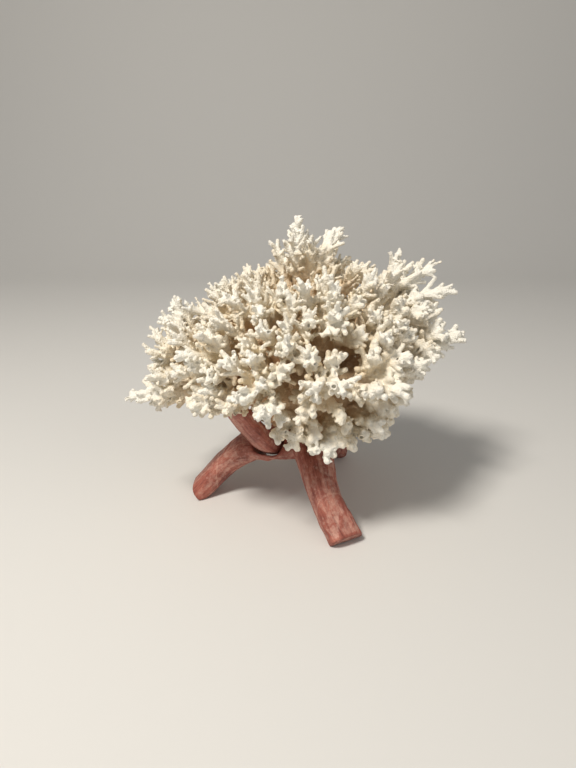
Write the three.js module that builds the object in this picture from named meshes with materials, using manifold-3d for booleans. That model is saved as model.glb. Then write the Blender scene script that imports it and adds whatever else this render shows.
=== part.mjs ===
// A branching coral that rests in a wooden tripod stand. Millimetres, +Z up, +Y away from the front.
// The stand is three interlocked legs: each leg's waist runs through the eye of the next leg.
// The coral is one growth, split here at its main forks: a base and the main branches on it.
import * as THREE from "three";
import { mergeVertices } from "three/addons/utils/BufferGeometryUtils.js";
import Module from "manifold-3d";

const GAP = 0.35; // clearance between neighbouring pieces
const FINE = 1e-3; // vertices closer than this are one vertex

// ---- The stand ----
const LEG_COUNT = 3;
const FIRST_LEG_AZIMUTH = 177; // degrees from +X, of the left foot
const CROSSING = new THREE.Vector3(-4, 3, 0); // plan position of the point that the legs twist round
const EYE_PLAY = 2.2; // loose room round a waist inside an eye
const LEG_RINGS = 18;
const LEG_SIDES = 8;
const SECTION_POWER = 0.72; // under 1 squares the leg's oval section
// Stations from the foot to the arm's tip: u outward, v sideways, z up, width, thickness, twist in degrees.
const LEG_STATIONS = [
  [97, 6, -13, 32, 17, 0],
  [84, 4.3, 2.5, 31, 18, 0],
  [70, 0.8, 17, 27, 20, 0],
  [54, -1, 33.5, 26.5, 22, 6],
  [37, 2, 48, 31, 23, 16],
  [18, 8, 54, 38, 20.5, 22],
  [0, 10, 50.5, 20, 17, 20],
  [-16, 9.5, 52.5, 18, 16, 14],
  [-31, 10, 65, 22, 18, 8],
  [-50, 11.5, 88, 23, 16, 0],
  [-66, 12, 107, 19, 12, 0],
];
const ARM_POINT = 4; // a blunt point past the last station
const SOLE_END = 82; // how far out each foot's sole ends
const FOOT_LEAN = 35; // degrees that the cut end of a foot leans outward above its sole
const CUTTER = 60; // side of the blocks that cut the feet's soles and ends
const LEGS = ["leg_left", "leg_front", "leg_back"];

// ---- The coral ----
const HEART = new THREE.Vector3(0, 0, 105); // the lines of all the branches meet here
const BASE_PROFILE = [
  [0, 74],
  [17, 74],
  [27, 84],
  [41, 97],
  [56, 108],
  [58, 114],
  [50, 124],
  [34, 133],
  [15, 138],
  [0, 139],
];
const BASE_SIDES = 12;
const BASE_STRETCH = new THREE.Vector3(1.1, 0.94, 1);
const LIMB = { radii: [9.5, 5], steps: [0, 0.92], sides: 4 };
const TWIG = { radii: [4.6, 5], steps: [0, 0.8], sides: 4 };
const SPIKE_ROLL = 0.3; // how far a tube's first corner is turned off the level
const LIMB_START = 20; // a limb starts this far from the heart, inside the base
const LIMB_SHARE = 0.8; // a limb ends at this share of its branch's reach
const FORK_MIDDLE = 0.9; // where the twigs in the middle of a fan leave the limb, as a share of it
const FORK_EDGE = 0.42; // and those at its edge
const LONG_TWIG_OFF = 0.5; // a long twig leaves the limb halfway between those
const GOLDEN_TURN = 137.5; // degrees from each seed of a sunflower to the next
const FIRST_SEED = 0.35;
const REACH_SHARES = [0.93, 1.02]; // twigs end between these shares of the coral's reach
const REACH_BLEND = 0.01; // square radians: how softly the reach changes between branches
const LOW_ELEVATION = 12; // branches under this keep off the surface below the coral
const LOW_DROP = 0.3; // share of their fan's half-angle that they use downwards
// Main branches: name, azimuth and elevation in degrees, reach from the heart in millimetres,
// half-angle of the fan of side branches, their number, and any long ones: azimuth, elevation, reach.
const BRANCHES = [
  ["left_low", 188, 1, 125, 15, 5, [[191, 1, 131]]],
  ["front_left_low", 219, 9, 86, 19, 5, [[214, 3, 93]]],
  ["front_low", 269, -5, 78, 16, 5, []],
  ["front_right_low", 294, -7, 83, 17, 5, []],
  ["right_front_low", 320, -5, 86, 17, 5, []],
  ["right_low", 347, 3, 84, 16, 5, [[344, 4, 92]]],
  ["right_back_low", 24, 6, 104, 18, 5, []],
  ["back_right_low", 58, 4, 100, 19, 5, []],
  ["back_low", 95, 4, 97, 19, 5, []],
  ["back_left_low", 134, 4, 108, 19, 5, []],
  ["left", 180, 21, 122, 16, 6, [[180, 14, 124], [180, 36, 120], [184, 30, 121]]],
  ["front_left", 212, 30, 108, 18, 6, []],
  ["front", 248, 25, 97, 17, 6, []],
  ["front_right", 284, 20, 99, 18, 6, []],
  ["right_front", 318, 22, 108, 18, 6, []],
  ["right", 354, 24, 125, 14, 6, [[353, 22, 133]]],
  ["back_right", 42, 32, 115, 18, 6, []],
  ["back", 87, 34, 106, 19, 6, []],
  ["back_left", 134, 34, 108, 19, 6, []],
  ["upper_left", 168, 47, 104, 16, 6, [[147, 62, 105]]],
  ["upper_front_left", 225, 57, 102, 17, 6, []],
  ["upper_front", 264, 45, 100, 16, 6, []],
  ["upper_front_right", 302, 58, 111, 16, 6, []],
  ["upper_right_front", 330, 42, 112, 15, 6, []],
  ["upper_right", 6, 44, 126, 13, 5, [[6, 43, 141], [2, 35, 140], [11, 52, 130]]],
  ["upper_back_right", 50, 60, 112, 16, 6, []],
  ["upper_back", 100, 60, 110, 16, 6, []],
  ["upper_back_left", 146, 62, 102, 15, 5, []],
  ["top", 70, 83, 122, 13, 5, [[95, 79, 131], [35, 73, 127]]],
];

const radians = THREE.MathUtils.degToRad;
const wasm = await Module();
wasm.setup();

function solidOf(geometry) {
  const bare = geometry.index ? geometry.toNonIndexed() : geometry.clone();
  bare.deleteAttribute("normal");
  bare.deleteAttribute("uv");
  const merged = mergeVertices(bare, FINE);
  return new wasm.Manifold(
    new wasm.Mesh({
      numProp: 3,
      vertProperties: merged.attributes.position.array,
      triVerts: new Uint32Array(merged.index.array),
    }),
  );
}

function geometryOf(solid) {
  const mesh = solid.getMesh();
  return new THREE.BufferGeometry()
    .setAttribute("position", new THREE.BufferAttribute(mesh.vertProperties, 3))
    .setIndex(new THREE.BufferAttribute(mesh.triVerts, 1));
}

// The largest of a solid's separate bodies: a cut can leave crumbs beside it.
function largestBody(solid) {
  return solid.decompose().reduce((a, b) => (a.volume() > b.volume() ? a : b));
}

// A closed skin over rings of points, each ring turning the same way, with a point at each end.
function skin(rings, first, last) {
  const sides = rings[0].length;
  const points = [...rings.flat(), first, last];
  const faces = [];
  rings.slice(1).forEach((_, i) => {
    for (let s = 0; s < sides; s++) {
      const a = i * sides + s;
      const b = i * sides + ((s + 1) % sides);
      faces.push(a, b, b + sides, a, b + sides, a + sides);
    }
  });
  const end = (rings.length - 1) * sides;
  for (let s = 0; s < sides; s++) {
    const next = (s + 1) % sides;
    faces.push(next, s, points.length - 2);
    faces.push(end + s, end + next, points.length - 1);
  }
  return new THREE.BufferGeometry().setFromPoints(points).setIndex(faces);
}

// ---- Legs ----

// An oval ring of the leg's section, squared a little towards a rounded plank.
function sectionRing(centre, across, through, width, thickness) {
  return Array.from({ length: LEG_SIDES }, (_, s) => {
    const turn = (2 * Math.PI * (s + 0.5)) / LEG_SIDES;
    const squared = (x) => Math.sign(x) * Math.abs(x) ** SECTION_POWER;
    return centre
      .clone()
      .addScaledVector(across, (squared(Math.cos(turn)) * width) / 2)
      .addScaledVector(through, (squared(Math.sin(turn)) * thickness) / 2);
  });
}

function legSolid(index, growth) {
  const path = new THREE.CatmullRomCurve3(
    LEG_STATIONS.map(([u, v, z]) => new THREE.Vector3(u, v, z)),
  );
  const sizes = new THREE.CatmullRomCurve3(
    LEG_STATIONS.map(([, , , w, t, twist]) => new THREE.Vector3(w, t, twist)),
  );
  const rings = Array.from({ length: LEG_RINGS + 1 }, (_, i) => {
    const t = i / LEG_RINGS;
    const size = sizes.getPoint(t);
    const along = path.getTangent(t);
    const across = new THREE.Vector3(
      0,
      Math.cos(radians(size.z)),
      -Math.sin(radians(size.z)),
    );
    across.addScaledVector(along, -across.dot(along)).normalize();
    const through = along.clone().cross(across);
    return sectionRing(
      path.getPoint(t),
      across,
      through,
      size.x + 2 * growth,
      size.y + 2 * growth,
    );
  });
  const start = path.getPoint(0);
  const tip = path
    .getPoint(1)
    .addScaledVector(path.getTangent(1), ARM_POINT + growth);
  const azimuth = FIRST_LEG_AZIMUTH + (index * 360) / LEG_COUNT;
  const geometry = skin(rings, start, tip)
    .rotateZ(radians(azimuth))
    .translate(CROSSING.x, CROSSING.y, 0);
  return solidOf(geometry);
}

// What is cut off under the feet and beyond their ends.
function groundAndFootEnds() {
  const wide = 4 * CUTTER;
  let cut = solidOf(
    new THREE.BoxGeometry(wide, wide, CUTTER).translate(0, 0, -CUTTER / 2),
  );
  for (let i = 0; i < LEG_COUNT; i++) {
    const azimuth = radians(FIRST_LEG_AZIMUTH + (i * 360) / LEG_COUNT);
    const end = new THREE.BoxGeometry(CUTTER, CUTTER, CUTTER)
      .translate(CUTTER / 2, 0, 0)
      .rotateY(radians(FOOT_LEAN))
      .translate(SOLE_END, 0, 0)
      .rotateZ(azimuth)
      .translate(CROSSING.x, CROSSING.y, 0);
    cut = cut.add(solidOf(end));
  }
  return cut;
}

function buildLegs() {
  const outside = groundAndFootEnds();
  const roomy = LEGS.map((_, i) => legSolid(i, EYE_PLAY));
  return LEGS.map((_, i) => {
    const threaded = roomy[(i + LEG_COUNT - 1) % LEG_COUNT];
    return largestBody(legSolid(i, 0).subtract(threaded).subtract(outside));
  });
}

// ---- Coral ----

function direction(azimuth, elevation) {
  const [a, e] = [radians(azimuth), radians(elevation)];
  return new THREE.Vector3(
    Math.cos(a) * Math.cos(e),
    Math.sin(a) * Math.cos(e),
    Math.sin(e),
  );
}

// A repeatable number from 0 to 1 for side branch k of branch i.
function chance(i, k) {
  const v = Math.sin(i * 12.9898 + k * 78.233) * 43758.5453;
  return v - Math.floor(v);
}

// How far the coral reaches in a direction, blended from its main branches.
function reachAlong(way) {
  let sum = 0;
  let weights = 0;
  for (const [, azimuth, elevation, reach] of BRANCHES) {
    const apart = way.angleTo(direction(azimuth, elevation));
    const weight = 1 / (apart * apart + REACH_BLEND) ** 2;
    sum += weight * reach;
    weights += weight;
  }
  return sum / weights;
}

// The tips of a main branch's side branches, fanned round its own direction as seeds in a sunflower.
function twigTips(index) {
  const [, azimuth, elevation, , spread, count, longOnes] = BRANCHES[index];
  const ahead = direction(azimuth, elevation);
  const aside = direction(azimuth + 90, 0);
  const above = direction(azimuth, elevation + 90);
  const tips = Array.from({ length: count }, (_, k) => {
    const off = Math.sqrt((k + FIRST_SEED) / count);
    const lean = Math.tan(radians(spread) * off);
    const turn = radians(k * GOLDEN_TURN) + index;
    const drop = Math.sin(turn) < 0 && elevation < LOW_ELEVATION ? LOW_DROP : 1;
    const way = ahead
      .clone()
      .addScaledVector(aside, lean * Math.cos(turn))
      .addScaledVector(above, lean * Math.sin(turn) * drop)
      .normalize();
    const share = THREE.MathUtils.lerp(...REACH_SHARES, chance(index, k));
    return { off, tip: way.multiplyScalar(reachAlong(way) * share).add(HEART) };
  });
  const longTips = longOnes.map(([azimuth, elevation, reach]) => ({
    off: LONG_TWIG_OFF,
    tip: direction(azimuth, elevation).multiplyScalar(reach).add(HEART),
  }));
  return [...tips, ...longTips];
}

// A tapered tube from one point to another: rings of the given radii at the given steps, then a point.
function spike(from, to, { radii, steps, sides }, growth) {
  const along = to.clone().sub(from).normalize();
  const across = new THREE.Vector3(-along.y, along.x, SPIKE_ROLL).cross(along).normalize();
  const third = along.clone().cross(across);
  const rings = radii.map((radius, i) =>
    Array.from({ length: sides }, (_, s) => {
      const turn = (2 * Math.PI * s) / sides;
      return from
        .clone()
        .lerp(to, steps[i])
        .addScaledVector(across, Math.cos(turn) * (radius + growth))
        .addScaledVector(third, Math.sin(turn) * (radius + growth));
    }),
  );
  const tip = to.clone().addScaledVector(along, growth);
  return solidOf(skin(rings, from, tip));
}

function branchSolid(index, growth) {
  const [, azimuth, elevation, reach] = BRANCHES[index];
  const way = direction(azimuth, elevation);
  const start = HEART.clone().addScaledVector(way, LIMB_START);
  const end = HEART.clone().addScaledVector(way, LIMB_SHARE * reach);
  const twigs = twigTips(index).map(({ off, tip }) => {
    const fork = start.clone().lerp(end, THREE.MathUtils.lerp(FORK_MIDDLE, FORK_EDGE, off));
    return spike(fork, tip, TWIG, growth);
  });
  return wasm.Manifold.union([spike(start, end, LIMB, growth), ...twigs]);
}

function baseSolid(growth) {
  const centre = (BASE_PROFILE[0][1] + BASE_PROFILE.at(-1)[1]) / 2;
  const half = centre - BASE_PROFILE[0][1];
  const rim = Math.max(...BASE_PROFILE.map(([r]) => r));
  const wider = 1 + growth / rim;
  const outline = BASE_PROFILE.map(([r, z]) => new THREE.Vector2(r, z - centre));
  const geometry = new THREE.LatheGeometry(outline, BASE_SIDES)
    .rotateX(Math.PI / 2)
    .scale(BASE_STRETCH.x * wider, BASE_STRETCH.y * wider, 1 + growth / half)
    .translate(0, 0, centre);
  return solidOf(geometry);
}

// ---- Assembly ----

const wood = new THREE.MeshStandardMaterial({ color: 0x9a4a38, roughness: 0.7, metalness: 0 });
const skeleton = new THREE.MeshStandardMaterial({ color: 0xefe6d0, roughness: 0.9, metalness: 0 });

const coral = new THREE.Group();
function place(name, solid, material) {
  const mesh = new THREE.Mesh(geometryOf(solid), material);
  mesh.name = name;
  coral.add(mesh);
}

const legs = buildLegs();
legs.forEach((solid, i) => place(LEGS[i], solid, wood));
const stand = wasm.Manifold.union(LEGS.map((_, i) => legSolid(i, GAP)));

place("coral_base", largestBody(baseSolid(0).subtract(stand)), skeleton);
let taken = stand.add(baseSolid(GAP));
BRANCHES.forEach(([name], i) => {
  place("branch_" + name, largestBody(branchSolid(i, 0).subtract(taken)), skeleton);
  taken = taken.add(branchSolid(i, GAP));
});

// The origin is the middle of the object's bounding box, on the surface that it stands on.
const bounds = new THREE.Box3().setFromObject(coral);
const middle = bounds.getCenter(new THREE.Vector3());
coral.position.set(-middle.x, -middle.y, -bounds.min.z);

export default coral;
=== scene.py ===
"""The looks of a branching coral on its wooden tripod stand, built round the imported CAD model.

The coral's branches follow the CAD's: the same directions and reaches, in millimetres from the coral's heart.
Each piece is drawn into a field of distances on a grid, and the field's zero surface becomes its mesh.
"""

import math

import bpy
import numpy as np
import openvdb
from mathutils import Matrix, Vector


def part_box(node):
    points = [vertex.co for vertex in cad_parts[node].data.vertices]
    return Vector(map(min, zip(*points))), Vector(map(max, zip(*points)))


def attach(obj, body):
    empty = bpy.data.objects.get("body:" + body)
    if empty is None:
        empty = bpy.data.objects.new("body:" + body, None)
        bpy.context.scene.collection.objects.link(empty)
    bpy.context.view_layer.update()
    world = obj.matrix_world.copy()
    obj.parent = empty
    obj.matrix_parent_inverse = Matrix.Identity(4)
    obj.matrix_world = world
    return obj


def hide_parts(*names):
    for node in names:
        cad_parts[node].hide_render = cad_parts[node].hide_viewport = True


MM = 0.001  # the numbers below are in millimetres

# ---- The stand's legs, as in the CAD ----
LEGS = ("leg_left", "leg_front", "leg_back")
FIRST_LEG_AZIMUTH = 177
CROSSING = np.array([-4.0, 3.0, 0.0])
EYE_PLAY = 2.2
SOLE_END = 82
FOOT_LEAN = math.radians(35)
SECTION_POWER = 2.78  # a superellipse's exponent: an oval squared a little
# Stations from the foot to the arm's tip: u outward, v sideways, z up, width, thickness, twist in degrees.
LEG_STATIONS = np.array([
    (97, 6, -13, 32, 17, 0),
    (84, 4.3, 2.5, 31, 18, 0),
    (70, 0.8, 17, 27, 20, 0),
    (54, -1, 33.5, 26.5, 22, 6),
    (37, 2, 48, 31, 23, 16),
    (18, 8, 54, 38, 20.5, 22),
    (0, 10, 50.5, 20, 17, 20),
    (-16, 9.5, 52.5, 18, 16, 14),
    (-31, 10, 65, 22, 18, 8),
    (-50, 11.5, 88, 23, 16, 0),
    (-66, 12, 107, 19, 12, 0),
], float)
ARM_STATIONS = 4  # the last stations are the arm that the coral rests on
RING_AT = 66  # how far out each leg has a carved step, below which its foot is proud
RING_STEP = 0.4
RING_SOFTNESS = 1.5
LEG_STEP = 120  # degrees from one leg to the next
LEG_SAMPLES = 160  # samples along a leg's centre line
LEG_END_BULGE = 6.0  # how far a leg's rounded ends stand past its last stations
LEG_FIELD = (np.array([-76.0, -24.0, -3.0]), np.array([SOLE_END + 18.0, 40.0, 118.0]))
LEG_FAR = 12.0  # distances given to points not measured, and to points on the centre line
LEG_CORE = -8.0
LEG_CHUNK = 60000  # points measured at a time
EYE_EDGE = 2.0  # roundings of the eye's rim, the foot's end and the sole
FOOT_EDGE = 1.0
SOLE_EDGE = 0.8
ARM_ROOM = 0.3  # between the arms and the coral
ARM_RODS = 6
FACETS = 44
FACET_DEPTHS = (0.15, 0.5)
FACET_REACH = 16
FACET_TILT = 0.16
FACET_BITE = 1.7  # the deepest cut, in facet depths

# ---- The coral, as in the CAD ----
HEART = np.array([0.0, 0.0, 105.0])
BASE_PROFILE = np.array([
    (0, 74), (17, 74), (27, 84), (41, 97), (56, 108), (58, 114), (50, 124), (34, 133), (15, 138), (0, 139),
], float)
BASE_STRETCH = np.array([1.1, 0.94])
LIMB_START = 20
LIMB_SHARE = 0.8
FORK_MIDDLE = 0.9
FORK_EDGE = 0.42
LONG_TWIG_OFF = 0.5
GOLDEN_TURN = math.radians(137.5)
FIRST_SEED = 0.35
REACH_SHARES = (0.93, 1.02)
REACH_BLEND = 0.01
OUTNESS_BLEND = 0.07
LOW_ELEVATION = 12
LOW_DROP = 0.3
# Name, azimuth and elevation in degrees, reach, half-angle of the fan of twigs, their number, and long
# ones: azimuth, elevation, reach.
BRANCHES = (
    ("left_low", 188, 1, 125, 15, 5, ((191, 1, 131),)),
    ("front_left_low", 219, 9, 86, 19, 5, ((214, 3, 93),)),
    ("front_low", 269, -5, 78, 16, 5, ()),
    ("front_right_low", 294, -7, 83, 17, 5, ()),
    ("right_front_low", 320, -5, 86, 17, 5, ()),
    ("right_low", 347, 3, 84, 16, 5, ((344, 4, 92),)),
    ("right_back_low", 24, 6, 104, 18, 5, ()),
    ("back_right_low", 58, 4, 100, 19, 5, ()),
    ("back_low", 95, 4, 97, 19, 5, ()),
    ("back_left_low", 134, 4, 108, 19, 5, ()),
    ("left", 180, 21, 122, 16, 6, ((180, 14, 124), (180, 36, 120), (184, 30, 121))),
    ("front_left", 212, 30, 108, 18, 6, ()),
    ("front", 248, 25, 97, 17, 6, ()),
    ("front_right", 284, 20, 99, 18, 6, ()),
    ("right_front", 318, 22, 108, 18, 6, ()),
    ("right", 354, 24, 125, 14, 6, ((353, 22, 133),)),
    ("back_right", 42, 32, 115, 18, 6, ()),
    ("back", 87, 34, 106, 19, 6, ()),
    ("back_left", 134, 34, 108, 19, 6, ()),
    ("upper_left", 168, 47, 104, 16, 6, ((147, 62, 105),)),
    ("upper_front_left", 225, 57, 102, 17, 6, ()),
    ("upper_front", 264, 45, 100, 16, 6, ()),
    ("upper_front_right", 302, 58, 111, 16, 6, ()),
    ("upper_right_front", 330, 42, 112, 15, 6, ()),
    ("upper_right", 6, 44, 126, 13, 5, ((6, 43, 141), (2, 35, 140), (11, 52, 130))),
    ("upper_back_right", 50, 60, 112, 16, 6, ()),
    ("upper_back", 100, 60, 110, 16, 6, ()),
    ("upper_back_left", 146, 62, 102, 15, 5, ()),
    ("top", 70, 83, 122, 13, 5, ((95, 79, 131), (35, 73, 127))),
)

# Lesser twigs, which only the visual model has: the directions tried, and which are kept.
FILLER_WAYS = 520
FILLER_SPREAD = 24  # degrees from the nearest branch, at most
FILLER_ROOM = 8.5  # degrees from the nearest of the CAD's twigs, at least
FILLER_DROP = 2  # degrees below a low branch, at most
FILLER_SHARES = (0.72, 0.95)
FILLER_OFFS = (0.5, 1.1)

# Radii and tints along a limb, from its root to its end, and along a twig.
LIMB_RADII = (10.5, 5.0)
# Tints are low, tan, deep in the coral and high, white, at the tips: partly stain, partly painted shade in
# the depths.
LIMB_TINTS = (0.05, 0.40)
LIMB_NUBS = (9.0, 1.5)  # spacing and size
TWIG_RADII = (5.2, 2.1)
TWIG_TAPER = 0.8
TWIG_TINTS = (0.25, 0.75)
TWIG_NUBS = (4.6, 1.15)
STOUTNESS_RANGE = (0.8, 1.25)

# Tiers of fingers round a twig's end: distance from the end, number, lean in radians, length.
TIERS = (
    (5.0, 3, 0.38, 9.5),
    (11.0, 3, 0.50, 12.5),
    (18.0, 3, 0.62, 14.0),
    (26.0, 3, 0.74, 12.5),
)
OPEN_TIERS = (
    (3.5, 2, 0.50, 5.0),
    (9.5, 2, 0.75, 5.5),
    (16.5, 2, 0.85, 6.5),
    (25.0, 1, 0.90, 8.0),
)
OPEN_STOUTNESS = 1.14  # fingers stouter than this stand in open tiers, with gaps between
OPEN_DROOP = 6.5  # how far the ends of the open twigs hang
FINGER_RADIUS = 2.1
FINGER_TINTS = np.array([0, 0.12, 0.25, 0.4])  # added along a finger, from its root to its tip
FINGER_NUBS = (5.4, 0.5)  # spacing, and size as a share of the finger's radius
FORK_CHANCE = 0.45
PORE_CHANCE = 0.35
HOLLOW_CHANCE = 0.08
FORK_LENGTH = 0.55  # as a share of the finger's
FORK_RADIUS = 0.88
BASE_STUBS = 90
# The base's low tint: partly stain, partly painted shade under the branches.
BASE_TINT = 0.12

# Roughness of the skin: size of the lumps and how high they stand.
BRANCH_LUMPS = ((1.9, 0.2), (6.0, 0.35))
BASE_LUMPS = ((14, 1.6), (4, 0.35))

# ---- Grids ----
BRANCH_VOXEL = 0.75
BASE_VOXEL = 1.1
LEG_VOXEL = 0.9
BRANCH_TRIANGLES = 27000
BASE_TRIANGLES = 30000
BRANCH_MARGIN = 16  # of the grid round a branch's twig tips
BASE_MARGIN = 8
LIMB_BLEND = 3.0  # roundings where rods join
TWIG_BLEND = 2.5
FINGER_BLEND = 1.3
NUB_BLEND = 0.9
ARM_BLEND = 0.8

# ---- Camera ----
CAMERA = np.array([-8.5, -442.0, 290.0])  # from the point on the floor under the coral's heart
CAMERA_PITCH = 22.5  # degrees below level
LENS = 27.05
SENSOR = 36

# ---- Lights, in metres and watts: place, size, power, colour ----
LIGHT_TARGET = (0, 0, 0.12)
LIGHTS = {
    "key": ((-0.52, -0.58, 1.28), 0.3, 19, (1.0, 0.95, 0.87)),
    "fill": ((1.2, -0.9, 0.9), 1.2, 3.2, (1.0, 0.96, 0.9)),
}
WORLD_COLOUR = (0.90, 0.89, 0.87, 1)
WORLD_STRENGTH = 0.25


def unit(v):
    return v / np.linalg.norm(v)


def direction(azimuth, elevation):
    a, e = math.radians(azimuth), math.radians(elevation)
    return np.array([math.cos(a) * math.cos(e), math.sin(a) * math.cos(e), math.sin(e)])


# ---- Fields ----


class Field:
    """Distances in millimetres to a growing solid, on a grid, with a tint for each grid point."""

    FAR = 6.0

    def __init__(self, low, high, voxel):
        self.voxel = voxel
        self.low = np.floor(np.array(low) / voxel) * voxel
        self.shape = tuple(int(n) for n in np.ceil((np.array(high) - self.low) / voxel) + 1)
        self.axes = [self.low[a] + voxel * np.arange(self.shape[a]) for a in range(3)]
        self.distance = np.full(self.shape, self.FAR, np.float32)
        self.tint = np.zeros(self.shape, np.float32)

    def _window(self, low, high):
        first = np.clip(np.floor((low - self.low) / self.voxel), 0, self.shape).astype(int)
        last = np.clip(np.ceil((high - self.low) / self.voxel) + 1, 0, self.shape).astype(int)
        if (last <= first).any():
            return None, None
        part = tuple(slice(f, n) for f, n in zip(first, last))
        x, y, z = (self.axes[a][part[a]] for a in range(3))
        return part, (x[:, None, None], y[None, :, None], z[None, None, :])

    def _rod_distance(self, grid, a, b, ra, rb):
        x, y, z = grid
        d = b - a
        length = max(float(d @ d), 1e-9)
        h = ((x - a[0]) * d[0] + (y - a[1]) * d[1] + (z - a[2]) * d[2]) / length
        np.clip(h, 0, 1, out=h)
        gap = np.sqrt(
            (x - a[0] - h * d[0]) ** 2 + (y - a[1] - h * d[1]) ** 2 + (z - a[2] - h * d[2]) ** 2
        )
        return gap - (ra + (rb - ra) * h), h

    def add_rod(self, a, b, ra, rb, ta, tb, blend):
        """Joins a round rod from a to b, with a radius and a tint at each end. blend rounds the joint."""
        reach = max(ra, rb) + blend + 2 * self.voxel
        part, grid = self._window(np.minimum(a, b) - reach, np.maximum(a, b) + reach)
        if part is None:
            return
        new, h = self._rod_distance(grid, a, b, ra, rb)
        old = self.distance[part]
        nearer = new < old
        self.tint[part] = np.where(nearer, ta + (tb - ta) * h, self.tint[part])
        soft = np.maximum(blend - np.abs(new - old), 0) / blend
        self.distance[part] = np.minimum(new, old) - soft * soft * blend / 4

    def cut_rod(self, a, b, ra, rb, blend):
        """Takes a round rod away. blend rounds the edge."""
        reach = max(ra, rb) + blend + 2 * self.voxel
        part, grid = self._window(np.minimum(a, b) - reach, np.maximum(a, b) + reach)
        if part is None:
            return
        new = -self._rod_distance(grid, a, b, ra, rb)[0]
        old = self.distance[part]
        soft = np.maximum(blend - np.abs(new - old), 0) / blend
        self.distance[part] = np.maximum(new, old) + soft * soft * blend / 4

    def roughen(self, cell, height, random):
        """Moves the surface in and out by soft noise."""
        self.distance += height * soft_noise(self.shape, cell / self.voxel, random)

    def sample(self, values, points):
        """Values of a grid at points, by straight interpolation."""
        place = (points - self.low) / self.voxel
        corner = np.clip(np.floor(place).astype(int), 0, np.array(self.shape) - 2)
        part = np.clip(place - corner, 0, 1)
        total = np.zeros(len(points))
        for step in np.ndindex(2, 2, 2):
            weight = np.prod(np.where(np.array(step) == 1, part, 1 - part), axis=1)
            at = corner + np.array(step)
            total += weight * values[at[:, 0], at[:, 1], at[:, 2]]
        return total

    def surface(self):
        """Points and four-sided faces of the zero surface."""
        grid = openvdb.FloatGrid(self.FAR)
        grid.copyFromArray(np.minimum(self.distance, self.FAR))
        points, quads = grid.convertToQuads(isovalue=0.0)
        return points * self.voxel + self.low, quads[:, ::-1]


def soft_noise(shape, cell, random):
    """Noise from -1 to 1 over a grid, with one random value in each cell and soft steps between."""
    counts = [int(n / cell) + 2 for n in shape]
    values = random.uniform(-1, 1, counts)
    for axis, n in enumerate(shape):
        place = np.arange(n) / cell
        first = place.astype(int)
        part = place - first
        part = part * part * (3 - 2 * part)
        low = np.take(values, first, axis)
        high = np.take(values, first + 1, axis)
        part = part.reshape([-1 if a == axis else 1 for a in range(3)])
        values = low + (high - low) * part
    return values.astype(np.float32)


# ---- Meshes ----


def make_object(name, points, faces):
    mesh = bpy.data.meshes.new(name)
    sides = faces.shape[1]
    mesh.vertices.add(len(points))
    mesh.vertices.foreach_set("co", (points * MM).astype(np.float32).ravel())
    mesh.loops.add(faces.size)
    mesh.loops.foreach_set("vertex_index", faces.astype(np.int32).ravel())
    mesh.polygons.add(len(faces))
    mesh.polygons.foreach_set("loop_start", np.arange(0, faces.size, sides, dtype=np.int32))
    mesh.update(calc_edges=True)
    mesh.validate()
    obj = bpy.data.objects.new(name, mesh)
    bpy.context.scene.collection.objects.link(obj)
    return obj


def largest_part(points, faces):
    """Only the largest connected part of a mesh: a field can leave crumbs."""
    label = np.arange(len(points))
    while True:
        least = label[faces].min(axis=1)
        new = label.copy()
        for c in range(faces.shape[1]):
            np.minimum.at(new, faces[:, c], least)
        new = new[new]
        if (new == label).all():
            break
        label = new
    kept = np.bincount(label[faces[:, 0]], minlength=len(points)).argmax()
    faces = faces[label[faces[:, 0]] == kept]
    used, packed = np.unique(faces, return_inverse=True)
    return points[used], packed.reshape(faces.shape)


def thin_out(obj, triangles):
    """Collapses a mesh to about that many triangles, where its shape needs them least."""
    count = 2 * len(obj.data.polygons)
    if count <= triangles:
        return
    thinner = obj.modifiers.new("thin_out", "DECIMATE")
    thinner.ratio = triangles / count
    graph = bpy.context.evaluated_depsgraph_get()
    full = obj.data
    obj.data = bpy.data.meshes.new_from_object(obj.evaluated_get(graph))
    obj.data.name = obj.name
    obj.modifiers.clear()
    bpy.data.meshes.remove(full)


def vertex_places(obj):
    """A mesh's vertices in millimetres."""
    places = np.empty(len(obj.data.vertices) * 3, np.float32)
    obj.data.vertices.foreach_get("co", places)
    return places.reshape(-1, 3).astype(float) / MM


def store(obj, name, values):
    """Keeps a number or a vector for each vertex, for the material to read."""
    if values.ndim == 1:
        attribute = obj.data.attributes.new(name, "FLOAT", "POINT")
        attribute.data.foreach_set("value", values.astype(np.float32))
    else:
        attribute = obj.data.attributes.new(name, "FLOAT_VECTOR", "POINT")
        attribute.data.foreach_set("vector", values.astype(np.float32).ravel())


def edges_of(obj):
    pairs = np.empty(len(obj.data.edges) * 2, np.int32)
    obj.data.edges.foreach_get("vertices", pairs)
    return pairs.reshape(-1, 2)


def neighbour_mean(values, pairs):
    """For each vertex, the mean of a value over the vertices that it shares an edge with."""
    count = np.bincount(pairs.ravel(), minlength=len(values))[:, None]
    total = np.zeros_like(values)
    for axis in range(values.shape[1]):
        total[:, axis] = np.bincount(pairs[:, 0], values[pairs[:, 1], axis], len(values))
        total[:, axis] += np.bincount(pairs[:, 1], values[pairs[:, 0], axis], len(values))
    return total / np.maximum(count, 1)


def store_bulge(obj, reach):
    """Keeps how far each vertex stands out of its surroundings, from 0 in a hollow to 1 on a tip."""
    places = vertex_places(obj)
    pairs = edges_of(obj)
    normals = np.empty(len(places) * 3, np.float32)
    obj.data.vertex_normals.foreach_get("vector", normals)
    normals = normals.reshape(-1, 3)
    smooth = places
    for _ in range(reach):
        smooth = neighbour_mean(smooth, pairs)
    out = ((places - smooth) * normals).sum(1)[:, None]
    out = neighbour_mean(out, pairs)[:, 0]
    spread = np.percentile(out, 90) - np.percentile(out, 10) + 1e-9
    store(obj, "bulge", np.clip(0.5 + 0.5 * (out - np.median(out)) / spread, 0, 1))


# ---- The coral ----

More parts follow.
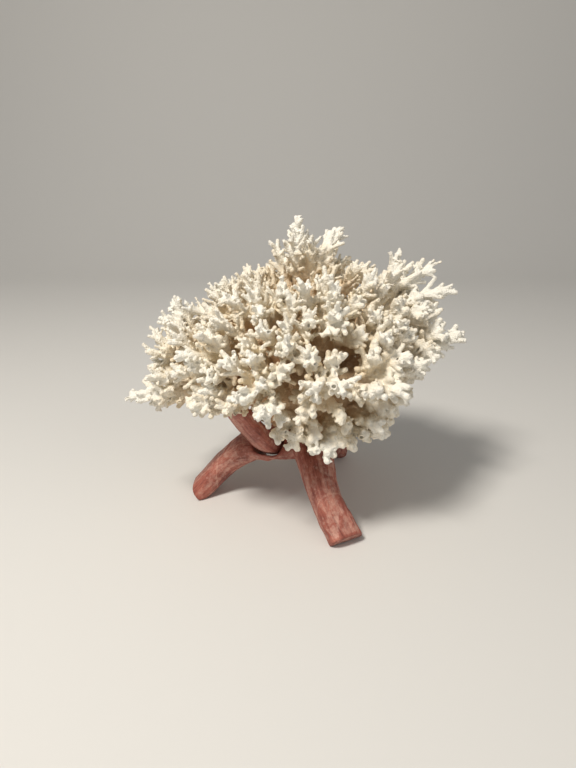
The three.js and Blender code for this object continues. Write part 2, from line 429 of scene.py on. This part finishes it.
REACH_WAYS = np.array([direction(b[1], b[2]) for b in BRANCHES])
REACHES = np.array([b[3] for b in BRANCHES], float)


def chance(i, k):
    v = math.sin(i * 12.9898 + k * 78.233) * 43758.5453
    return v - math.floor(v)


def reach_along(way):
    apart = np.arccos(np.clip(REACH_WAYS @ way, -1, 1))
    weight = 1 / (apart * apart + REACH_BLEND) ** 2
    return float(weight @ REACHES / weight.sum())


def twig_tips(index):
    """The ends of a branch's twigs, as in the CAD: how far off the branch's line each is, and its tip."""
    _, azimuth, elevation, _, spread, count, long_ones = BRANCHES[index]
    ahead = direction(azimuth, elevation)
    aside = direction(azimuth + 90, 0)
    above = direction(azimuth, elevation + 90)
    tips = []
    for k in range(count):
        off = math.sqrt((k + FIRST_SEED) / count)
        lean = math.tan(math.radians(spread) * off)
        turn = k * GOLDEN_TURN + index
        drop = LOW_DROP if math.sin(turn) < 0 and elevation < LOW_ELEVATION else 1
        way = unit(ahead + lean * math.cos(turn) * aside + lean * math.sin(turn) * drop * above)
        low, high = REACH_SHARES
        share = low + (high - low) * chance(index, k)
        tips.append((off, HEART + way * reach_along(way) * share))
    for az, el, reach in long_ones:
        tips.append((LONG_TWIG_OFF, HEART + direction(az, el) * reach))
    return tips


def apart(a, b):
    """The angle between two directions, in degrees."""
    return math.degrees(math.acos(max(-1.0, min(1.0, float(a @ b)))))


def filler_tips():
    """For each branch, the ends of the lesser twigs that fill the room between the CAD's twigs."""
    random = np.random.RandomState(3)
    taken = [unit(tip - HEART) for i in range(len(BRANCHES)) for _, tip in twig_tips(i)]
    tips = [[] for _ in BRANCHES]
    for k in range(FILLER_WAYS):
        up = 1 - 2 * (k + 0.5) / FILLER_WAYS
        turn = k * GOLDEN_TURN
        wide = math.sqrt(1 - up * up)
        way = unit(np.array([wide * math.cos(turn), wide * math.sin(turn), up]) + random.normal(0, 0.03, 3))
        owner = int((REACH_WAYS @ way).argmax())
        elevation = BRANCHES[owner][2]
        low = elevation < LOW_ELEVATION
        if apart(way, REACH_WAYS[owner]) > FILLER_SPREAD:
            continue
        if low and math.degrees(math.asin(way[2])) < elevation - FILLER_DROP:
            continue
        if stoutness(HEART + way) > OPEN_STOUTNESS:
            continue
        if min(apart(way, w) for w in taken) < FILLER_ROOM:
            continue
        share = random.uniform(*FILLER_SHARES)
        tips[owner].append((random.uniform(*FILLER_OFFS), HEART + way * reach_along(way) * share))
    return tips


def stoutness(point):
    """How thick the fingers are at a point: stubby low at the front, slim at the left and the top."""
    way = unit(point - HEART)
    return float(np.clip(1.05 - 0.32 * way[2] - 0.15 * way[1] + 0.1 * way[0], *STOUTNESS_RANGE))


def across(way, turn):
    """A direction at right angles to way, turned about it."""
    side = unit(np.cross(way, (0.31, 0.17, 0.94) if abs(way[2]) < 0.9 else (1, 0, 0.1)))
    return side * math.cos(turn) + np.cross(way, side) * math.sin(turn)


def add_path(field, points, radii, tints, blend):
    for i in range(len(points) - 1):
        field.add_rod(points[i], points[i + 1], radii[i], radii[i + 1], tints[i], tints[i + 1], blend)


def curve(a, b, bow, steps):
    """Points on a bowed line from a to b."""
    t = np.linspace(0, 1, steps + 1)[:, None]
    return a + (b - a) * t + bow * 4 * t * (1 - t)


def add_nubs(field, points, radii, tints, spacing, size, random, first=0.0):
    """Small corallites along a path: short rods that lean towards its end, in a spiral."""
    lengths = np.linalg.norm(np.diff(points, axis=0), axis=1)
    total = lengths.sum()
    reached = np.concatenate(([0], np.cumsum(lengths)))
    turn = random.uniform(0, 6.28)
    at = first * total + random.uniform(0, spacing)
    while at < total - 1.0:
        i = min(int(np.searchsorted(reached, at, "right")) - 1, len(lengths) - 1)
        t = (at - reached[i]) / lengths[i]
        place = points[i] + (points[i + 1] - points[i]) * t
        radius = radii[i] + (radii[i + 1] - radii[i]) * t
        tint = tints[i] + (tints[i + 1] - tints[i]) * t
        way = unit(points[i + 1] - points[i])
        out = across(way, turn)
        lean = unit(out + way * random.uniform(0.35, 0.95))
        thick = size * random.uniform(0.8, 1.2)
        end = place + out * radius * 0.55 + lean * (radius * 0.45 + thick * random.uniform(1.3, 2.3))
        root = place + out * radius * 0.5
        field.add_rod(root, end, thick, thick * 0.9, tint, min(tint + 0.3, 1), NUB_BLEND)
        turn += GOLDEN_TURN + random.uniform(-0.4, 0.4)
        at += spacing * random.uniform(0.7, 1.3)


def add_finger(field, start, way, length, radius, stout, tint, random, forks=True):
    """One finger: a bowed rod with a round end, which may fork, be nubbed, or be hollow at its tip."""
    end = start + way * length
    bow = across(way, random.uniform(0, 6.28)) * length * random.uniform(0.0, 0.09)
    points = curve(start, end, bow, 3)
    knob = 0.42 + 0.46 * stout + random.uniform(-0.12, 0.12)
    radii = radius * np.array([1.15, 0.98, 0.5 + 0.45 * knob, knob])
    tints = np.clip(tint + FINGER_TINTS, 0, 1)
    add_path(field, points, radii, tints, FINGER_BLEND)
    spacing, size = FINGER_NUBS
    add_nubs(field, points, radii, tints, spacing, size * radius, random, 0.3)
    kind = random.uniform()
    tip = unit(points[-1] - points[-2])
    top = points[-1] + tip * radii[-1]
    if kind < HOLLOW_CHANCE:
        field.cut_rod(top - tip * 3.5, top + tip * 1.5, 0.5 * radii[-1], 0.62 * radii[-1], 0.6)
    elif kind < HOLLOW_CHANCE + PORE_CHANCE:
        field.cut_rod(top - tip * 0.9, top + tip * 1.5, 0.42 * radii[-1], 0.5 * radii[-1], 0.5)
    if forks and random.uniform() < FORK_CHANCE:
        aside = across(way, random.uniform(0, 6.28))
        lean = random.uniform(0.5, 0.85)
        fork_way = unit(way * math.cos(lean) + aside * math.sin(lean))
        long = FORK_LENGTH * length * random.uniform(0.8, 1.2)
        thick = FORK_RADIUS * radius
        add_finger(field, points[1], fork_way, long, thick, stout, tint + 0.15, random, False)


def add_cluster(field, points, radii, stout, tints, random):
    """The fingers that crowd round a twig's end, in tiers."""
    way = unit(points[-1] - points[-2])
    turn = random.uniform(0, 6.28)
    lengths = np.linalg.norm(np.diff(points, axis=0), axis=1)
    left = np.concatenate((np.cumsum(lengths[::-1])[::-1], [0]))
    for back, count, lean, length in OPEN_TIERS if stout > OPEN_STOUTNESS else TIERS:
        for k in range(count):
            b = back + random.uniform(-2.5, 2.5)
            if b > left[0] * 0.9:
                continue
            i = max(j for j in range(len(left)) if left[j] >= b)
            i = min(i, len(points) - 2)
            t = (left[i] - b) / lengths[i]
            place = points[i] + (points[i + 1] - points[i]) * t
            radius = radii[i] + (radii[i + 1] - radii[i]) * t
            tint = tints[i] + (tints[i + 1] - tints[i]) * t
            out = across(way, turn)
            angle = lean * random.uniform(0.75, 1.25)
            finger = unit(way * math.cos(angle) + out * math.sin(angle))
            long = length * random.uniform(0.7, 1.3) + radius * 0.7
            thick = FINGER_RADIUS * stout * random.uniform(0.75, 1.15)
            add_finger(field, place, finger, long, thick, stout, tint + 0.15, random)
            turn += 2 * math.pi / count + random.uniform(-0.35, 0.35)
        turn += 0.9


def store_growth(obj, field):
    """Keeps what the coral's colour follows: age along the fingers, depth in the coral, and bulge, which tint
    it as stain and also as painted shade in its depths and hollows.
    """
    places = vertex_places(obj) - SHIFT
    store(obj, "tint", field.sample(field.tint, places))
    store(obj, "outness", outness(places - HEART))
    store_bulge(obj, 4)


def outness(rays):
    """How far out each point is, from 0 at the heart to about 1 at the dome round its branches."""
    far = np.linalg.norm(rays, axis=1)
    cosines = (rays / np.maximum(far, 1e-6)[:, None]) @ REACH_WAYS.T
    angle = np.arccos(np.clip(cosines, -1, 1))
    weight = 1 / (angle * angle + OUTNESS_BLEND) ** 2
    return far * weight.sum(1) / (weight @ REACHES)


def draw_branch(index, fillers, arms):
    """A main branch: its limb, its twigs and their fingers, kept off the stand's arms."""
    name, azimuth, elevation, reach, *_ = BRANCHES[index]
    random = np.random.RandomState(100 + index)
    way = direction(azimuth, elevation)
    start = HEART + way * LIMB_START
    end = HEART + way * LIMB_SHARE * reach
    tips = twig_tips(index) + fillers[index]
    ends = np.array([tip for _, tip in tips] + [start])
    field = Field(ends.min(0) - BRANCH_MARGIN, ends.max(0) + BRANCH_MARGIN, BRANCH_VOXEL)

    bow = across(way, random.uniform(0, 6.28)) * random.uniform(1, 4)
    limb = curve(start, end, bow, 6)
    share = np.linspace(0, 1, len(limb))
    limb_radii = LIMB_RADII[0] + (LIMB_RADII[1] - LIMB_RADII[0]) * share
    limb_tints = LIMB_TINTS[0] + (LIMB_TINTS[1] - LIMB_TINTS[0]) * share
    add_path(field, limb, limb_radii, limb_tints, LIMB_BLEND)
    for off, tip in tips:
        t = FORK_MIDDLE + (FORK_EDGE - FORK_MIDDLE) * off
        fork = start + (end - start) * t + bow * 4 * t * (1 - t)
        stout = stoutness(tip)
        twig_way = unit(tip - fork)
        length = np.linalg.norm(tip - fork)
        twig_bow = across(twig_way, random.uniform(0, 6.28)) * length * random.uniform(0.02, 0.09)
        points = curve(fork, tip - twig_way * 2 * stout, twig_bow, 6)
        s = np.linspace(0, 1, len(points))
        if stout > OPEN_STOUTNESS:
            points[:, 2] -= OPEN_DROOP * s**2
        taper = TWIG_RADII[0] + (TWIG_RADII[1] - TWIG_RADII[0]) * s**TWIG_TAPER
        radii = taper * (0.4 + 0.6 * stout)
        tints = TWIG_TINTS[0] + (TWIG_TINTS[1] - TWIG_TINTS[0]) * s
        add_path(field, points, radii, tints, TWIG_BLEND)
        add_nubs(field, points, radii, tints, *TWIG_NUBS, random, 0.1)
        add_cluster(field, points, radii, stout, tints, random)
    add_nubs(field, limb, limb_radii, limb_tints, *LIMB_NUBS, random, 0.3)
    for a, b, ra, rb in arms:
        field.cut_rod(a, b, ra, rb, ARM_BLEND)
    for cell, height in BRANCH_LUMPS:
        field.roughen(cell, height, random)

    points, quads = largest_part(*field.surface())
    obj = make_object("coral_" + name, points + SHIFT, quads)
    thin_out(obj, BRANCH_TRIANGLES)
    store_growth(obj, field)
    return obj


def base_distance(field):
    """Distance to the base's lathe profile on a field's grid."""
    x, y, z = (field.axes[0][:, None, None], field.axes[1][None, :, None], field.axes[2][None, None, :])
    r = np.hypot(x / BASE_STRETCH[0], y / BASE_STRETCH[1]) + 0 * z
    z = z + 0 * r
    nearest = np.full(r.shape, np.inf)
    inside = np.zeros(r.shape, bool)
    corners = list(BASE_PROFILE)
    for (r0, z0), (r1, z1) in zip(corners, corners[1:]):
        length = (r1 - r0) ** 2 + (z1 - z0) ** 2
        h = np.clip(((r - r0) * (r1 - r0) + (z - z0) * (z1 - z0)) / length, 0, 1)
        gap = np.hypot(r - r0 - h * (r1 - r0), z - z0 - h * (z1 - z0))
        nearest = np.minimum(nearest, gap)
        if z0 != z1:
            crosses = (z0 > z) != (z1 > z)
            inside ^= crosses & (r < (r1 - r0) * (z - z0) / (z1 - z0) + r0)
    return np.where(inside, -nearest, nearest)


def draw_base(arms):
    """The mound that the branches spring from, with stubs of old growth on its underside."""
    random = np.random.RandomState(7)
    wide = BASE_PROFILE[:, 0].max() * BASE_STRETCH
    low = np.array([-wide[0], -wide[1], BASE_PROFILE[:, 1].min()]) - BASE_MARGIN
    high = np.array([wide[0], wide[1], BASE_PROFILE[:, 1].max()]) + BASE_MARGIN
    field = Field(low, high, BASE_VOXEL)
    field.distance = np.minimum(base_distance(field), field.FAR).astype(np.float32)
    field.tint[:] = BASE_TINT
    for k in range(BASE_STUBS):
        turn = k * GOLDEN_TURN
        t = (k + 0.5) / BASE_STUBS
        place = BASE_PROFILE[1] + (BASE_PROFILE[4] - BASE_PROFILE[1]) * t
        foot = np.array([
            place[0] * BASE_STRETCH[0] * math.cos(turn),
            place[0] * BASE_STRETCH[1] * math.sin(turn),
            place[1],
        ])
        out = unit(np.array([math.cos(turn), math.sin(turn), -0.9]))
        size = random.uniform(1.3, 2.6)
        end = foot + out * random.uniform(0.5, 3)
        field.add_rod(foot - out * 2, end, size * 1.3, size, 0.1, 0.35, TWIG_BLEND)
    for a, b, ra, rb in arms:
        field.cut_rod(a, b, ra, rb, ARM_BLEND)
    for cell, height in BASE_LUMPS:
        field.roughen(cell, height, random)
    points, quads = largest_part(*field.surface())
    obj = make_object("coral_base_growth", points + SHIFT, quads)
    thin_out(obj, BASE_TRIANGLES)
    store_growth(obj, field)
    return obj


# ---- The legs ----


def spline(points, t):
    """A centripetal Catmull-Rom curve through points, at t from 0 to 1."""
    first = 2 * points[0] - points[1]
    last = 2 * points[-1] - points[-2]
    padded = np.vstack([first, points, last])
    place = t * (len(points) - 1)
    i = min(int(place), len(points) - 2)
    w = place - i
    p = padded[i:i + 4]
    d0, d1, d2 = (max(np.linalg.norm(p[k + 1] - p[k]) ** 0.5, 1e-4) for k in range(3))
    m1 = ((p[1] - p[0]) / d0 - (p[2] - p[0]) / (d0 + d1) + (p[2] - p[1]) / d1) * d1
    m2 = ((p[2] - p[1]) / d1 - (p[3] - p[1]) / (d1 + d2) + (p[3] - p[2]) / d2) * d1
    c2 = -3 * p[1] + 3 * p[2] - 2 * m1 - m2
    c3 = 2 * p[1] - 2 * p[2] + m1 + m2
    return p[1] + m1 * w + c2 * w * w + c3 * w**3


def leg_line():
    """The leg's centre line with its section's axes and half sizes at each sample, in the leg's own frame."""
    t = np.linspace(0, 1, LEG_SAMPLES)
    centre = np.array([spline(LEG_STATIONS[:, :3], x) for x in t])
    sizes = np.array([spline(LEG_STATIONS[:, 3:], x) for x in t])
    along = np.gradient(centre, axis=0)
    along /= np.linalg.norm(along, axis=1)[:, None]
    twist = np.radians(sizes[:, 2])
    side = np.stack([np.zeros_like(twist), np.cos(twist), -np.sin(twist)], 1)
    side -= (side * along).sum(1)[:, None] * along
    side /= np.linalg.norm(side, axis=1)[:, None]
    return centre, along, side, np.cross(along, side), sizes[:, 0] / 2, sizes[:, 1] / 2


def leg_distance(points, growth):
    """Distance in millimetres from points to a leg in its own frame, grown all round."""
    centre, along, side, through, half_width, half_thick = leg_line()
    result = np.full(len(points), LEG_FAR)
    for k in range(0, len(points), LEG_CHUNK):
        p = points[k:k + LEG_CHUNK]
        squares = (p * p).sum(1)[:, None] + (centre * centre).sum(1)[None] - 2 * p @ centre.T
        near = squares.argmin(1)
        rel = p - centre[near]
        a = (rel * side[near]).sum(1) / (half_width[near] + growth)
        b = (rel * through[near]).sum(1) / (half_thick[near] + growth)
        c = (rel * along[near]).sum(1) / LEG_END_BULGE
        ends = (near == 0) | (near == LEG_SAMPLES - 1)
        section = (np.abs(a) ** SECTION_POWER + np.abs(b) ** SECTION_POWER) ** (1 / SECTION_POWER)
        level = np.where(ends, np.hypot(section, c), section)
        away = np.maximum(np.linalg.norm(rel, axis=1), 1e-6)
        gap = away * (1 - 1 / np.maximum(level, 0.05))
        result[k:k + LEG_CHUNK] = np.where(level > 1e-6, gap, LEG_CORE)
    return result


def turn_about_up(points, degrees):
    c, s = math.cos(math.radians(degrees)), math.sin(math.radians(degrees))
    return points @ np.array([[c, s, 0], [-s, c, 0], [0, 0, 1]])


def leg_surface():
    """Points and faces of one leg in its own frame: u outward, v sideways, z up."""
    field = Field(*LEG_FIELD, LEG_VOXEL)
    grid = np.stack(np.meshgrid(*field.axes, indexing="ij"), -1).reshape(-1, 3)
    rough = np.linalg.norm(grid[:, None, :] - leg_line()[0][None, ::8], axis=2).min(1) < 30
    near = grid[rough]
    step = RING_STEP / (1 + np.exp((RING_AT - near[:, 0]) * RING_SOFTNESS))
    whole = leg_distance(near, 0) - step + RING_STEP / 2
    threaded = leg_distance(turn_about_up(near, LEG_STEP), EYE_PLAY)

    def rounded_max(a, b, blend):
        soft = np.maximum(blend - np.abs(a - b), 0) / blend
        return np.maximum(a, b) + soft * soft * blend / 4

    solid = rounded_max(whole, -threaded, EYE_EDGE)
    beyond = (near[:, 0] - SOLE_END) * math.cos(FOOT_LEAN) - near[:, 2] * math.sin(FOOT_LEAN)
    solid = rounded_max(solid, beyond, FOOT_EDGE)
    solid = rounded_max(solid, -near[:, 2], SOLE_EDGE)
    distance = np.full(len(grid), field.FAR)
    distance[rough] = np.minimum(solid, field.FAR)
    field.distance = distance.reshape(field.shape).astype(np.float32)
    return largest_part(*field.surface())


def carve_facets(points, random):
    """Shallow flats, as a knife leaves them, at random places on a leg."""
    centre = leg_line()[0]
    points = points.copy()
    for _ in range(FACETS):
        spot = points[random.randint(len(points))]
        core = centre[np.linalg.norm(centre - spot, axis=1).argmin()]
        normal = unit(unit(spot - core) + random.normal(0, FACET_TILT, 3))
        depth = random.uniform(*FACET_DEPTHS)
        rel = points - spot
        height = np.clip(rel @ normal + depth, 0, FACET_BITE * depth)
        hold = np.clip(1.6 - 1.6 * (rel * rel).sum(1) / FACET_REACH**2, 0, 1)
        points -= (height * hold)[:, None] * normal
    return points


def draw_legs():
    """The three legs, each carved in its own way, with the grain's and the ring's places stored on them."""
    points, quads = leg_surface()
    centre, along, side, through, _, _ = leg_line()
    steps = np.linalg.norm(np.diff(centre, axis=0), axis=1)
    lengths = np.concatenate(([0], np.cumsum(steps)))
    legs = []
    for i, name in enumerate(LEGS):
        random = np.random.RandomState(40 + i)
        carved = carve_facets(points, random)
        obj = make_object(name + "_carved", carved, quads)
        pairs = edges_of(obj)
        for _ in range(2):
            carved = carved + 0.6 * (neighbour_mean(carved, pairs) - carved)
        carved[:, 2] = np.maximum(carved[:, 2], 0)
        carved[points[:, 2] < 0.05, 2] = 0
        squares = (carved * carved).sum(1)[:, None] + (centre * centre).sum(1) - 2 * carved @ centre.T
        near = squares.argmin(1)
        rel = carved - centre[near]
        grain = np.stack([
            lengths[near] + (rel * along[near]).sum(1),
            (rel * side[near]).sum(1),
            (rel * through[near]).sum(1),
        ], 1)
        placed = turn_about_up(carved, FIRST_LEG_AZIMUTH + LEG_STEP * i) + CROSSING + SHIFT
        obj.data.vertices.foreach_set("co", (placed * MM).astype(np.float32).ravel())
        obj.data.update()
        store(obj, "grain", grain + 200.0 * i)
        store(obj, "ring", carved[:, 0] - RING_AT)
        store_bulge(obj, 6)
        legs.append(obj)
    return legs


def arm_rods():
    """The legs' arms as rods, to keep the coral off them."""
    centre, _, _, _, width, thick = leg_line()
    first = int(LEG_SAMPLES * (1 - (ARM_STATIONS - 0.6) / (len(LEG_STATIONS) - 1)))
    picks = np.linspace(first, LEG_SAMPLES - 1, ARM_RODS + 1).astype(int)
    rods = []
    for i in range(len(LEGS)):
        line = turn_about_up(centre[picks], FIRST_LEG_AZIMUTH + LEG_STEP * i) + CROSSING
        radii = (width + thick)[picks] / 2 + ARM_ROOM
        for k in range(ARM_RODS):
            rods.append((line[k], line[k + 1], radii[k], radii[k + 1]))
    return rods


# ---- Materials ----


class Nodes:
    """A short way to write a material's nodes."""

    def __init__(self, name):
        self.material = bpy.data.materials.new(name)
        self.material.use_nodes = True
        self.tree = self.material.node_tree
        self.shader = self.tree.nodes["Principled BSDF"]

    def add(self, kind, inputs=None, **settings):
        node = self.tree.nodes.new(kind)
        for key, value in settings.items():
            setattr(node, key, value)
        for key, value in (inputs or {}).items():
            self.set(node.inputs[key], value)
        return node

    def set(self, socket, value):
        if isinstance(value, bpy.types.NodeSocket):
            self.tree.links.new(value, socket)
        else:
            socket.default_value = value

    def ramp(self, factor, stops):
        node = self.add("ShaderNodeValToRGB", {"Fac": factor})
        elements = node.color_ramp.elements
        while len(elements) < len(stops):
            elements.new(0.5)
        for element, (place, colour) in zip(elements, stops):
            element.position = place
            element.color = (*colour, 1)
        return node.outputs["Color"]

    def mix(self, factor, a, b):
        node = self.add("ShaderNodeMix", data_type="RGBA")
        self.set(node.inputs["Factor"], factor)
        self.set(node.inputs[6], a)
        self.set(node.inputs[7], b)
        return node.outputs[2]

    def math(self, operation, a, b=0.0):
        node = self.add("ShaderNodeMath", operation=operation)
        self.set(node.inputs[0], a)
        self.set(node.inputs[1], b)
        return node.outputs[0]

    def noise(self, scale, detail, roughness, place):
        return self.add("ShaderNodeTexNoise", {
            "Scale": scale, "Detail": detail, "Roughness": roughness, "Vector": place,
        }).outputs["Fac"]


def grey(v):
    return (v, v, v)


def coral_material():
    """Bleached skeleton: tan deep between the branches, partly stain and partly painted shade, warm white at
    the tips, grainy all over.
    """
    m = Nodes("bleached_coral")
    place = m.add("ShaderNodeTexCoord").outputs["Object"]
    tint = m.add("ShaderNodeAttribute", attribute_name="tint").outputs["Fac"]
    outness = m.add("ShaderNodeAttribute", attribute_name="outness").outputs["Fac"]
    bulge = m.add("ShaderNodeAttribute", attribute_name="bulge").outputs["Fac"]
    blotch = m.noise(38.0, 3.0, 0.55, place)
    speck = m.noise(420.0, 2.0, 0.6, place)
    # Deeper in the coral, more tan: partly stain, partly painted shade between the branches.
    depth = m.add("ShaderNodeMapRange", {
        "Value": outness, "From Min": 0.6, "From Max": 1.08, "To Min": 0.0, "To Max": 1.0,
    }).outputs[0]
    shade = m.math("ADD", m.math("MULTIPLY", depth, 0.62), m.math("MULTIPLY", tint, 0.2))
    # Bulge lightens bumps and darkens hollows: painted shade in the hollows, on top of the coral's tan.
    shade = m.math("ADD", shade, m.math("MULTIPLY", bulge, 0.3))
    shade = m.math("ADD", shade, m.math("MULTIPLY", m.math("SUBTRACT", blotch, 0.5), 0.55))
    shade = m.math("ADD", shade, m.math("MULTIPLY", m.math("SUBTRACT", speck, 0.5), 0.3))
    colour = m.ramp(shade, (
        (0.08, (0.60, 0.39, 0.23)),
        (0.36, (0.77, 0.59, 0.39)),
        (0.62, (0.88, 0.78, 0.61)),
        (0.92, (0.93, 0.90, 0.82)),
    ))
    stain = m.ramp(m.noise(26.0, 2.0, 0.5, place), ((0.62, grey(0)), (0.78, grey(1))))
    colour = m.mix(m.math("MULTIPLY", stain, 0.3), colour, (0.72, 0.62, 0.36, 1))
    m.set(m.shader.inputs["Base Color"], colour)
    m.shader.inputs["Roughness"].default_value = 0.85
    m.shader.inputs["Specular IOR Level"].default_value = 0.25
    pores = m.add("ShaderNodeTexVoronoi", {"Scale": 750.0, "Vector": place}).outputs["Distance"]
    grain = m.noise(1300.0, 2.0, 0.6, place)
    height = m.math("ADD", pores, m.math("MULTIPLY", grain, 0.6))
    bump = m.add("ShaderNodeBump", {"Strength": 0.9, "Distance": 0.0007, "Height": height})
    m.set(m.shader.inputs["Normal"], bump.outputs["Normal"])
    return m.material


def wood_material():
    """Stained carved wood: fibres and pores along each leg, dusty wear, and a cut line at the ring."""
    m = Nodes("stained_wood")
    place = m.add("ShaderNodeTexCoord").outputs["Object"]
    grain = m.add("ShaderNodeAttribute", attribute_name="grain").outputs["Vector"]
    ring = m.add("ShaderNodeAttribute", attribute_name="ring").outputs["Fac"]
    bulge = m.add("ShaderNodeAttribute", attribute_name="bulge").outputs["Fac"]

    def along(stretch):
        return m.add("ShaderNodeVectorMath", {0: grain, 1: stretch}, operation="MULTIPLY").outputs[0]

    fibre = m.noise(1.0, 4.0, 0.6, along((0.07, 0.8, 0.8)))
    streak = m.noise(1.0, 3.0, 0.55, along((0.03, 0.2, 0.2)))
    pore = m.noise(1.0, 1.0, 0.5, along((0.3, 1.3, 1.3)))
    blotch = m.noise(60.0, 4.0, 0.65, place)
    shade = m.math("ADD", m.math("MULTIPLY", fibre, 0.38), m.math("MULTIPLY", blotch, 0.47))
    shade = m.math("ADD", shade, m.math("MULTIPLY", streak, 0.3))
    colour = m.ramp(shade, (
        (0.42, (0.15, 0.040, 0.032)),
        (0.54, (0.30, 0.085, 0.060)),
        (0.66, (0.44, 0.150, 0.105)),
        (0.78, (0.54, 0.225, 0.165)),
    ))
    dark = m.ramp(pore, ((0.60, grey(0)), (0.70, grey(1))))
    colour = m.mix(m.math("MULTIPLY", dark, 0.35), colour, (0.10, 0.03, 0.026, 1))
    crumble = m.noise(330.0, 3.0, 0.7, place)
    wear = m.math("ADD", m.math("MULTIPLY", bulge, 0.3), m.math("MULTIPLY", crumble, 0.5))
    wear = m.math("ADD", wear, m.math("MULTIPLY", streak, 0.42))
    wear = m.ramp(wear, ((0.58, grey(0)), (0.76, grey(1))))
    colour = m.mix(m.math("MULTIPLY", wear, 0.55), colour, (0.66, 0.42, 0.34, 1))
    line = m.math("ABSOLUTE", m.math("ADD", ring, m.math("MULTIPLY", m.math("SUBTRACT", blotch, 0.5), 3.0)))
    line = m.ramp(line, ((0.3, grey(1)), (0.9, grey(0))))
    line = m.math("MULTIPLY", line, m.math("MULTIPLY", crumble, 0.5))
    colour = m.mix(line, colour, (0.70, 0.42, 0.33, 1))
    m.set(m.shader.inputs["Base Color"], colour)
    m.set(m.shader.inputs["Roughness"], m.math("ADD", 0.42, m.math("MULTIPLY", blotch, 0.3)))
    m.shader.inputs["Specular IOR Level"].default_value = 0.4
    height = m.math("SUBTRACT", m.math("ADD", fibre, crumble), m.math("MULTIPLY", dark, 0.5))
    bump = m.add("ShaderNodeBump", {"Strength": 0.45, "Distance": 0.0005, "Height": height})
    m.set(m.shader.inputs["Normal"], bump.outputs["Normal"])
    return m.material


def floor_material():
    """The studio's plain pale floor."""
    m = Nodes("pale_floor")
    m.shader.inputs["Base Color"].default_value = (0.72, 0.71, 0.69, 1)
    m.shader.inputs["Roughness"].default_value = 0.7
    return m.material


# ---- The scene ----


def add_floor():
    """A floor that curves up into a backdrop, well away from the object."""
    profile = [(-2.5, 0.0), (0.9, 0.0)]
    radius, centre = 0.6, (0.9, 0.6)
    profile += [
        (centre[0] + radius * math.sin(a), centre[1] - radius * math.cos(a))
        for a in np.linspace(0.1, math.pi / 2, 12)
    ]
    profile.append((1.5, 3.0))
    points = np.array([(x, y, z) for y, z in profile for x in (-4.0, 4.0)]) / MM
    faces = np.array([(2 * i, 2 * i + 1, 2 * i + 3, 2 * i + 2) for i in range(len(profile) - 1)])
    floor = make_object("floor", points, faces)
    floor.data.shade_smooth()
    floor.data.materials.append(floor_material())


def add_light(name, place, size, power, colour):
    data = bpy.data.lights.new(name, "AREA")
    data.size = size
    data.energy = power
    data.color = colour
    lamp = bpy.data.objects.new(name, data)
    lamp.location = place
    lamp.rotation_euler = (Vector(LIGHT_TARGET) - Vector(place)).to_track_quat("-Z", "Y").to_euler()
    bpy.context.scene.collection.objects.link(lamp)


def add_lights():
    for name, light in LIGHTS.items():
        add_light(name, *light)
    world = bpy.data.worlds.new("studio")
    world.use_nodes = True
    background = world.node_tree.nodes["Background"]
    background.inputs["Color"].default_value = WORLD_COLOUR
    background.inputs["Strength"].default_value = WORLD_STRENGTH
    bpy.context.scene.world = world
    bpy.context.scene.view_settings.view_transform = "Standard"


def add_camera():
    data = bpy.data.cameras.new("camera")
    data.lens = LENS
    data.sensor_width = SENSOR
    camera = bpy.data.objects.new("camera", data)
    camera.location = (CAMERA + SHIFT) * MM
    camera.rotation_euler = (math.radians(90 - CAMERA_PITCH), 0, 0)
    bpy.context.scene.collection.objects.link(camera)
    bpy.context.scene.camera = camera


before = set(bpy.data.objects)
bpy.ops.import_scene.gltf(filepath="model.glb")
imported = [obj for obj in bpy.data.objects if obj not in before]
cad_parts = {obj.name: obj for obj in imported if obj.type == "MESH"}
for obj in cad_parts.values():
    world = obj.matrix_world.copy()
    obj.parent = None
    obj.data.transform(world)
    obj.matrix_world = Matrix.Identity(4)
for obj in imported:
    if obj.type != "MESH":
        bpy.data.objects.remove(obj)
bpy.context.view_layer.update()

# The CAD's origin is moved to its box's middle; the base shows by how much.
low, high = (np.array(corner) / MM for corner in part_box("coral_base"))
SHIFT = np.array([(low[0] + high[0]) / 2, (low[1] + high[1]) / 2, 0.0])

coral = coral_material()
wood = wood_material()
arms = arm_rods()

for obj, node in zip(draw_legs(), LEGS):
    obj.data.shade_smooth()
    obj.data.materials.append(wood)
    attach(obj, "root")
    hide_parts(node)

growth = [(draw_base(arms), "coral_base")]
fillers = filler_tips()
growth += [(draw_branch(i, fillers, arms), "branch_" + b[0]) for i, b in enumerate(BRANCHES)]
for obj, node in growth:
    obj.data.shade_smooth()
    obj.data.materials.append(coral)
    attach(obj, "root")
    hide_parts(node)

add_floor()
add_lights()
add_camera()
